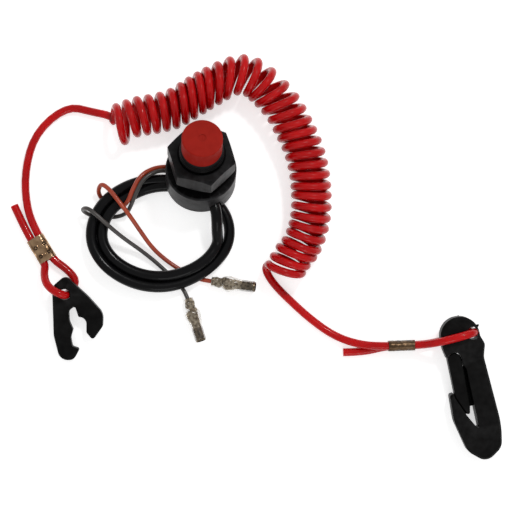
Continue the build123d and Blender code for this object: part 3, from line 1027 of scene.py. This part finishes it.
@dataclass
class Ferrule:
    """A flattened tube crimped over two strands, with four dimples in rings of painted shade."""

    name: str
    at: tuple[float, float]
    angle: float
    upright: bool
    length: float = 11.0
    strand_step: float = 3.5
    bore_t: float = 3.6
    wall: float = 0.4
    dimple_depth: float = 0.46
    dimple_r: float = 0.8
    dimple_step: float = 4.1
    dimple_shift: tuple[float, float] = (0.7, 0.3)
    # inner and outer distance of the rings of painted shade round the dimples, in dimple radii
    painted_shade_ring: tuple[float, float] = (0.45, 1.05)
    rim_height: float = 0.2
    rim_at: float = 1.7
    rim_sharpness: float = 2.0
    side_from: float = 0.3
    side_fade: float = 0.4
    dents: float = 0.12
    dent_scale: float = 0.8
    dent_shift: Point = (5.0, 0.0, 0.0)
    steps: int = 64
    side_steps: int = 18

    def half_sizes(self) -> tuple[float, float]:
        """Half the width and half the thickness."""
        return (self.strand_step + self.bore_t) / 2 + self.wall, self.bore_t / 2 + self.wall

    def place(self) -> Matrix:
        """Where the ferrule lies: its length along X, its width along Y.

        Returns:
            The place, in millimetres.
        """
        wide, thick = self.half_sizes()
        if self.upright:
            return posed((*self.at, wide), self.angle, 90.0, "X")
        return posed((*self.at, thick), self.angle, 0.0, "X")

    def section(self, inset: float) -> list[tuple[float, float]]:
        """The rounded outline across the tube.

        Args:
            inset: how far inside the outer skin it lies.

        Returns:
            Its (width, thickness) points.
        """
        wide, thick = self.half_sizes()
        r = thick - inset
        straight = wide - thick
        flat = []
        bend = []
        for j in range(self.side_steps):
            a = math.pi / 2 + math.pi * j / self.side_steps
            flat.append((straight - 2 * straight * j / self.side_steps, r))
            bend.append((-straight + r * math.cos(a), r * math.sin(a)))
        half = flat + bend
        return half + [(-y, -z) for y, z in half]

    def from_dimple(self, x: float, y: float) -> float:
        """How far a spot is from the nearest dimple's middle.

        Args:
            x: place along the ferrule.
            y: place across it.

        Returns:
            The distance, in dimple radii.
        """
        half = self.dimple_step / 2
        dx = abs(x - self.dimple_shift[0]) - half
        dy = abs(y - self.dimple_shift[1]) - half
        return math.hypot(dx, dy) / self.dimple_r

    def sink(self, far: float) -> float:
        """How deep the flat faces lie at a distance from a dimple, with the rim round it."""
        rim = math.exp(-(((far - self.rim_at) * self.rim_sharpness) ** 2))
        return self.dimple_depth * math.exp(-far * far) - self.rim_height * rim

    def pressed(self, x: float, y: float, z: float) -> Vector:
        """Press and dent one point of the outer skin.

        Args:
            x: place along the ferrule.
            y: place across it.
            z: place through it.

        Returns:
            The point.
        """
        thick = self.half_sizes()[1]
        flat = min(1.0, max(0.0, (abs(z) / thick - self.side_from) / self.side_fade))
        z -= math.copysign(self.sink(self.from_dimple(x, y)), z) * flat
        y += self.dents * noise.noise(Vector((x, y, z)) * self.dent_scale)
        z += self.dents * noise.noise(Vector((y, x, z)) * self.dent_scale + Vector(self.dent_shift))
        return Vector((x, y, z))

    def build(self) -> bpy.types.Object:
        """Build the ferrule.

        Returns:
            The piece.
        """
        place = self.place()
        half = self.length / 2
        outer = self.section(0.0)
        points = []
        for i in range(self.steps + 1):
            x = half * (2 * i / self.steps - 1)
            points += [place @ self.pressed(x, y, z) for y, z in outer]
        for x in (half, -half):
            points += [place @ Vector((x, y, z)) for y, z in self.section(self.wall)]
        faces = ring_faces(self.steps + 3, len(outer), closed=True)
        piece = mesh_piece(f"{self.name}_tube", points, faces)
        # The upright ferrule gets the darker copy of the brass, as painted shade.
        settle(piece, SHADED_BRASS if self.upright else PRESSED_BRASS, self.name)
        # Painted shade in rings round the dimples.
        near, far = self.painted_shade_ring
        dress_faces(
            piece, PAINTED_SHADE_BRASS, place, lambda spot: near < self.from_dimple(spot.x, spot.y) < far
        )
        return piece


@dataclass
class Coil:
    """The curled middle of the cord."""

    route: Table = (
        (-68.6, 72.2), (-59.0, 74.3), (-50.5, 75.6), (-43.0, 77.6), (-35.0, 82.6), (-27.0, 87.3),
        (-18.5, 91.3), (-11.0, 92.2), (-4.0, 86.2), (2.6, 78.8), (7.2, 70.2), (11.4, 61.2),
        (14.0, 51.0), (14.9, 39.5), (14.2, 29.5), (10.9, 20.0), (7.4, 16.4), (4.2, 11.0),
    )
    height: float = 8.7
    radius: float = 7.0
    per_turn: int = 12
    first_angle: float = -75.0
    last_angle: float = 200.0
    strand_r: float = 1.7
    loose_reach: float = 0.5
    loose_drop: float = 1.7
    loose_from: float = 8.0
    loose_fade: float = 3.0
    pitches: Table = (
        (0.0, 6.6), (0.04, 4.6), (0.07, 4.5), (0.13, 4.7), (0.16, 4.25),
        (0.27, 4.25), (0.31, 4.8), (0.36, 5.3), (0.43, 5.4), (0.56, 5.0),
        (0.64, 4.5), (0.88, 4.3), (0.93, 4.0), (1.0, 3.9),
    )
    slants: Table = (
        (0.0, 14.6), (0.019, 14.6), (0.06, 21.7), (0.09, 18.4), (0.117, 16.1),
        (0.149, 12.8), (0.176, 11.4), (0.26, 11.4), (0.286, 8.4), (0.316, 4.9),
        (0.35, -2.8), (0.384, -9.9), (0.421, -21.0), (0.457, -42.0), (0.492, -58.0),
        (0.525, -65.0), (0.568, -70.0), (0.647, -76.0), (0.745, -86.0), (0.804, -92.0),
        (0.863, -98.0), (0.912, -107.0), (0.951, -108.0), (1.0, -105.0),
    )
    falls: Table = (
        (0.0, 4.0), (0.14, 6.0), (0.3, 7.0), (0.36, 9.0), (0.56, 9.0),
        (0.64, 6.0), (0.74, 7.0), (0.86, 9.0), (0.94, 12.0), (1.0, 14.0),
    )
    stray: float = 0.25
    seed: int = 4

    def control_points(self) -> list[Point]:
        """Control points of the helix along the coil's line.

        The slants say how the upper strand of a turn lies as seen from above, in degrees from the
        Y axis, and the falls how far a turn has tipped forwards.

        Returns:
            The points, in millimetres.
        """
        line = read_line("coil_line", [(x, y, self.height) for x, y in self.route])
        total = line_length(line)
        chance = random.Random(self.seed)
        wide = self.radius / math.cos(math.pi / self.per_turn)
        angle = self.first_angle
        travelled = 0.0
        points = []
        jitter = 0.0
        while True:
            part = travelled / total
            centre, ahead = spot_on(line, travelled)
            side = Vector((-ahead.y, ahead.x, 0.0)).normalized()
            c = math.cos(math.radians(angle))
            s = math.sin(math.radians(angle))
            if len(points) % self.per_turn == 0:
                jitter = chance.uniform(-self.stray, self.stray)
            first = min(1.0, max(0.0, (self.loose_from - travelled) / self.loose_fade))
            reach = wide + self.loose_reach * first
            pitch = between(self.pitches, part)
            heading = math.degrees(math.atan2(ahead.y, ahead.x))
            rise = math.degrees(math.atan2(pitch, 4.0 * self.radius))
            lean = math.tan(math.radians(between(self.slants, part) - heading - rise))
            fall = math.radians(between(self.falls, part))
            low = centre - Vector((0.0, self.loose_drop * first, 0.0))
            slide = reach * (s * math.sin(fall) - c * lean) + jitter
            spot = low + side * (reach * c) + ahead * slide
            middle = self.strand_r + self.radius * math.cos(fall)
            points.append((spot.x, spot.y, middle + reach * s * math.cos(fall)))
            travelled += pitch / self.per_turn
            angle += 360.0 / self.per_turn
            if travelled >= total and abs((angle - self.last_angle) % 360.0) < 360.0 / self.per_turn:
                break
        return points


def between(table: Table, part: float) -> float:
    """Value of a table at a place along it.

    Args:
        table: (place, value) rows in order.
        part: the place.

    Returns:
        The value there.
    """
    for (a, low), (b, high) in zip(table, table[1:]):
        if part <= b:
            return low + (high - low) * max(0.0, (part - a) / (b - a))
    return table[-1][1]


def spot_on(line: list[Vector], travelled: float) -> tuple[Vector, Vector]:
    """The place and the heading at a distance along a line.

    Args:
        line: its points.
        travelled: distance from its start.

    Returns:
        The place and the unit heading.
    """
    left = travelled
    for a, b in zip(line, line[1:]):
        step = (b - a).length
        if left <= step:
            return a.lerp(b, left / step), (b - a).normalized()
        left -= step
    heading = (line[-1] - line[-2]).normalized()
    return line[-1] + heading * left, heading


@dataclass
class Lanyard:
    """The red cord from its cut end in the fork's ferrule to its cut end in the hook's."""

    diameter: float = 3.4
    coil: Coil = field(default_factory=Coil)
    fork_ferrule: Ferrule = field(
        default_factory=lambda: Ferrule("fork_ferrule", (-99.55, 18.75), -58.5, False)
    )
    hook_ferrule: Ferrule = field(
        default_factory=lambda: Ferrule("hook_ferrule", (52.8, -22.1), 2.0, True)
    )
    fork_tail: tuple[Point, ...] = ((-111.3, 37.3, 1.8), (-108.3, 30.8, 1.8))
    fork_loop: tuple[Point, ...] = (
        (-98.2, 8.8, 4.2), (-97.0, 4.2, 8.0), (-93.6, 0.9, 10.2), (-88.7, -1.1, 10.2),
        (-88.5, -0.5, 1.8), (-84.2, 5.0, 1.8), (-88.9, 10.4, 1.9),
    )
    fork_lead: tuple[Point, ...] = (
        (-106.1, 36.0, 1.9), (-107.0, 52.0, 1.8), (-102.4, 68.6, 1.8), (-89.0, 79.8, 1.9),
        (-78.4, 77.2, 2.0), (-69.6, 75.4, 2.0),
    )
    hook_lead: tuple[Point, ...] = (
        (-4.7, 11.0, 3.0), (-3.4, 7.4, 1.9), (-0.2, 3.0, 1.9), (4.3, -1.6, 1.8),
        (14.4, -11.0, 1.8), (25.2, -18.6, 2.2), (36.4, -22.0, 4.6),
    )
    hook_loop: tuple[Point, ...] = (
        (64.3, -21.3, 9.6), (70.0, -20.0, 13.2), (83.1, -16.4, 13.6), (83.1, -16.3, 1.8),
        (79.8, -13.7, 1.8), (73.5, -19.2, 1.8), (65.8, -21.2, 1.9),
    )
    hook_tail: tuple[Point, ...] = ((36.8, -24.9, 1.8), (28.2, -25.0, 1.8))
    run: float = 0.8

    def strand(self, ferrule: Ferrule, aside: float, z: float) -> list[Point]:
        """The run of one strand through a ferrule.

        Args:
            ferrule: the ferrule.
            aside: how far beside its axis the strand lies.
            z: height of the strand.

        Returns:
            Its two ends.
        """
        reach = ferrule.length / 2 + self.run
        a = math.radians(ferrule.angle)
        along = Vector((math.cos(a), math.sin(a), 0.0))
        across = Vector((-math.sin(a), math.cos(a), 0.0))
        middle = Vector((*ferrule.at, z)) + across * aside
        return [tuple(middle - along * reach), tuple(middle + along * reach)]

    def route(self) -> list[Point]:
        """Control points of the whole cord.

        Returns:
            The points, in millimetres.
        """
        wide, thick = self.fork_ferrule.half_sizes()
        half_step = self.fork_ferrule.strand_step / 2
        left = self.strand(self.fork_ferrule, -half_step, thick)
        right = self.strand(self.fork_ferrule, half_step, thick)
        upper = self.strand(self.hook_ferrule, 0.0, wide + half_step)
        lower = self.strand(self.hook_ferrule, 0.0, wide - half_step)
        fork_end = [*self.fork_tail, *left, *self.fork_loop, *right[::-1], *self.fork_lead]
        hook_end = [*self.hook_lead, *upper, *self.hook_loop, *lower[::-1], *self.hook_tail]
        return fork_end + self.coil.control_points() + hook_end

    def build(self) -> None:
        """Build the cord and its ferrules."""
        ferrules = [self.fork_ferrule.build(), self.hook_ferrule.build()]
        cord = Cord("lanyard_cord", self.route(), self.diameter, RED_CORD, per_span=4)
        nodes = ("lanyard_fork_end", "lanyard_coil", "lanyard_hook_end")
        cord.build(nodes, FarEnd.BARE, Lay.LOOSE, ferrules)


# Fork clip and snap hook ---------------------------------------------------------------------


@dataclass
class Ends:
    """The fork clip and the snap hook, with the nubs of flash left on the hook's rim."""

    nubs: tuple[tuple[Point, float, float], ...] = (
        ((76.7, -10.3, 5.6), 97.0, 1.1),
        ((84.3, -13.9, 5.6), 35.0, 1.3),
        ((87.9, -67.2, 5.6), -80.0, 2.0),
    )
    nub_r: float = 0.75
    nub_tip_r: float = 0.02
    sunk: float = 0.8
    flare: float = 1.3
    taper: tuple[float, float] = (0.55, 0.7)
    hook_at: Point = (82.1, -16.3, 3.8)
    hook_turn: float = 12.0
    hook_tilt: float = 4.135
    # Outline of a black sheet that closes the gap beside the tongue: painted shade.
    gap_sheet_outline: Table = ((-13.6, -24.4), (-12.3, -24.4), (-9.0, -32.4), (-8.6, -33.4), (-10.2, -33.9))
    gap_sheet_low: float = 0.1
    gap_sheet_high: float = 1.15

    def nub(self, name: str, root: Point, angle: float, length: float) -> bpy.types.Object:
        """One nub that stands out of the rim.

        Args:
            name: name of the piece.
            root: middle of its root.
            angle: where it points, in degrees from +X.
            length: how far it stands out.

        Returns:
            The nub.
        """
        profile = [
            (self.nub_tip_r, -self.sunk),
            (self.nub_r * self.flare, -self.sunk),
            (self.nub_r, 0.0),
            (self.nub_r * self.taper[0], length * self.taper[1]),
            (self.nub_tip_r, length),
        ]
        piece = lathe(name, profile, posed(root, angle, 90.0, "Y"), around=12)
        return settle(piece, FLEXIBLE_MOULDING)

    def gap_shade_sheet(self) -> bpy.types.Object:
        """A thin black sheet below the tongue's lower edge, closing the gap there as painted shade.

        Returns:
            The sheet of painted shade.
        """
        place = posed(self.hook_at, self.hook_turn, self.hook_tilt, "X")
        points = [place @ Vector((x, y, z)) for z in (self.gap_sheet_low, self.gap_sheet_high) for x, y in self.gap_sheet_outline]
        count = len(self.gap_sheet_outline)
        faces = [(j, j + count, (j + 1) % count + count, (j + 1) % count) for j in range(count)]
        faces += [tuple(range(count)), tuple(reversed(range(count, 2 * count)))]
        piece = mesh_piece("gap_shade_sheet", points, faces, smooth=False)
        return settle(piece, FLEXIBLE_MOULDING)

    def build(self) -> None:
        """Dress both mouldings and the tongue, and add the nubs and the black sheet of painted shade
        under the tongue's edge.
        """
        for node in ("fork_clip", "snap_hook", "hook_gate"):
            dress(node, FLEXIBLE_MOULDING)
        for number, (root, angle, length) in enumerate(self.nubs, 1):
            self.nub(f"hook_flash_{number}", root, angle, length)
        self.gap_shade_sheet()


# Studio --------------------------------------------------------------------------------------


@dataclass
class Studio:
    """Floor, lamps and camera."""

    target: Point = (-9.0, 16.3, 0.0)
    distance: float = 650.0
    elevation: float = 88.0
    lens: float = 107.8
    sensor: float = 36.0
    clip: tuple[float, float] = (0.01, 20.0)
    floor_half: float = 1500.0
    floor_low: float = 0.1
    floor_colour: tuple[float, float, float, float] = (0.86, 0.86, 0.86, 1.0)
    white: tuple[float, float, float, float] = (1.0, 1.0, 1.0, 1.0)
    floor_glow: float = 0.6
    room_strength: float = 0.5
    lamps: tuple[tuple[str, Point, float, float], ...] = (
        ("key_lamp", (210.0, 400.0, 620.0), 90.0, 1.5),
        ("front_lamp", (60.0, -560.0, 380.0), 300.0, 0.6),
    )

    def camera(self) -> None:
        """Set the camera at the photograph's angle."""
        data = bpy.data.cameras.new("view")
        data.lens = self.lens
        data.sensor_width = self.sensor
        data.clip_start, data.clip_end = self.clip
        eye = bpy.data.objects.new("view", data)
        bpy.context.scene.collection.objects.link(eye)
        e = math.radians(self.elevation)
        back = Vector((0.0, -math.cos(e), math.sin(e)))
        eye.location = (Vector(self.target) + back * self.distance) * MM
        eye.rotation_euler = (math.radians(90.0 - self.elevation), 0.0, 0.0)
        bpy.context.scene.camera = eye

    def floor(self) -> None:
        """Lay a pale floor that keeps a soft shadow."""
        h = self.floor_half
        corners = [Vector((x, y, -self.floor_low)) for x, y in ((-h, -h), (h, -h), (h, h), (-h, h))]
        piece = mesh_piece("floor", corners, [(0, 1, 2, 3)], smooth=False)
        made = bpy.data.materials.new("floor_white")
        made.use_nodes = True
        tree = made.node_tree
        tree.nodes.clear()
        out = tree.nodes.new("ShaderNodeOutputMaterial")
        matt = tree.nodes.new("ShaderNodeBsdfDiffuse")
        matt.inputs["Color"].default_value = self.floor_colour
        glow = tree.nodes.new("ShaderNodeEmission")
        glow.inputs["Color"].default_value = self.white
        glow.inputs["Strength"].default_value = self.floor_glow
        both = tree.nodes.new("ShaderNodeAddShader")
        rays = tree.nodes.new("ShaderNodeLightPath")
        choice = tree.nodes.new("ShaderNodeMixShader")
        link(tree, (matt, 0, both, 0), (glow, 0, both, 1))
        seen = math_node(tree, "MAXIMUM")
        also = math_node(tree, "MAXIMUM")
        link(
            tree, (rays, "Is Camera Ray", seen, 0), (rays, "Is Glossy Ray", seen, 1),
            (seen, 0, also, 0), (rays, "Is Transmission Ray", also, 1), (also, 0, choice, 0),
            (matt, 0, choice, 1), (both, 0, choice, 2), (choice, 0, out, "Surface"),
        )
        piece.data.materials.append(made)

    def lamp(self, name: str, place: Point, size: float, power: float) -> None:
        """Hang one soft lamp that faces the object.

        Args:
            name: name of the lamp.
            place: where it hangs.
            size: side of its square.
            power: its power in watts.
        """
        data = bpy.data.lights.new(name, "AREA")
        data.shape = "SQUARE"
        data.size = size * MM
        data.energy = power
        lamp = bpy.data.objects.new(name, data)
        bpy.context.scene.collection.objects.link(lamp)
        lamp.location = Vector(place) * MM
        aim = Vector(self.target) * MM - lamp.location
        lamp.rotation_euler = aim.to_track_quat("-Z", "Y").to_euler()

    def world(self) -> None:
        """Fill the room with an even pale light, seen as white."""
        room = bpy.data.worlds.new("room")
        bpy.context.scene.world = room
        room.use_nodes = True
        sky = room.node_tree.nodes["Background"]
        sky.inputs["Color"].default_value = self.white
        rays = room.node_tree.nodes.new("ShaderNodeLightPath")
        level = math_node(room.node_tree, "MULTIPLY_ADD", 1.0 - self.room_strength)
        level.inputs[2].default_value = self.room_strength
        room.node_tree.links.new(rays.outputs["Is Camera Ray"], level.inputs[0])
        room.node_tree.links.new(level.outputs[0], sky.inputs["Strength"])

    def build(self) -> None:
        """Set the floor, the light and the camera."""
        self.floor()
        self.world()
        for lamp in self.lamps:
            self.lamp(*lamp)
        self.camera()
        bpy.context.scene.view_settings.view_transform = "Standard"


ORANGE = Wire(
    colour="orange",
    diameter=1.9,
    finish=ORANGE_INSULATION,
    route=(
        (-41.6, 48.4, 3.2), (-38.0, 48.9, 3.0), (-35.4, 50.6, 2.3), (-36.6, 53.2, 1.5),
        (-41.0, 53.4, 1.3), (-46.6, 53.9, 1.9), (-52.0, 53.0, 4.6), (-57.3, 49.6, 7.7),
        (-60.6, 43.4, 8.4), (-62.4, 38.4, 8.4), (-65.5, 36.3, 3.8), (-70.2, 36.6, 1.15),
        (-74.2, 40.0, 1.3), (-75.6, 43.2, 4.2), (-73.8, 46.3, 7.8), (-70.2, 43.7, 9.8),
        (-65.9, 38.2, 11.0), (-61.6, 32.6, 10.4), (-57.4, 26.2, 6.2), (-52.6, 19.2, 3.0),
        (-46.6, 13.8, 1.4), (-39.6, 9.2, 1.15), (-33.9, 6.45, 1.15),
    ),
    connector=Connector("orange", at=(-27.3, 5.0, 2.4), angle=-7.5, wire_d=1.9),
)
GREY = Wire(
    colour="grey",
    diameter=1.8,
    finish=GREY_INSULATION,
    route=(
        (-41.5, 46.6, 3.2), (-37.6, 46.6, 3.2), (-33.8, 47.8, 2.8), (-34.4, 50.6, 2.2),
        (-38.0, 51.2, 2.0), (-41.0, 51.0, 2.1), (-46.6, 52.1, 3.2), (-51.0, 51.5, 6.2),
        (-56.0, 48.2, 8.1), (-59.0, 42.6, 8.4), (-61.0, 37.4, 7.6), (-63.4, 33.6, 3.4),
        (-68.6, 32.2, 1.2), (-74.8, 32.4, 1.1), (-79.8, 33.4, 1.4), (-82.4, 35.4, 5.2),
        (-79.4, 35.9, 10.0), (-75.2, 32.6, 10.6), (-70.0, 27.8, 9.6), (-64.2, 23.0, 6.2),
        (-57.6, 18.4, 3.0), (-50.8, 13.0, 1.4), (-44.8, 7.4, 1.2), (-41.6, 4.2, 1.3),
    ),
    connector=Connector("grey", at=(-37.3, -2.4, 2.4), angle=-72.5, wire_d=1.8),
)


def main() -> None:
    """Build every piece."""
    logging.basicConfig(level=logging.INFO, format="%(name)s %(message)s")
    Studio().build()
    Lanyard().build()
    SleeveRing().build()
    ORANGE.build()
    GREY.build()
    Switch().build()
    Ends().build()


if __name__ == "__main__":
    main()
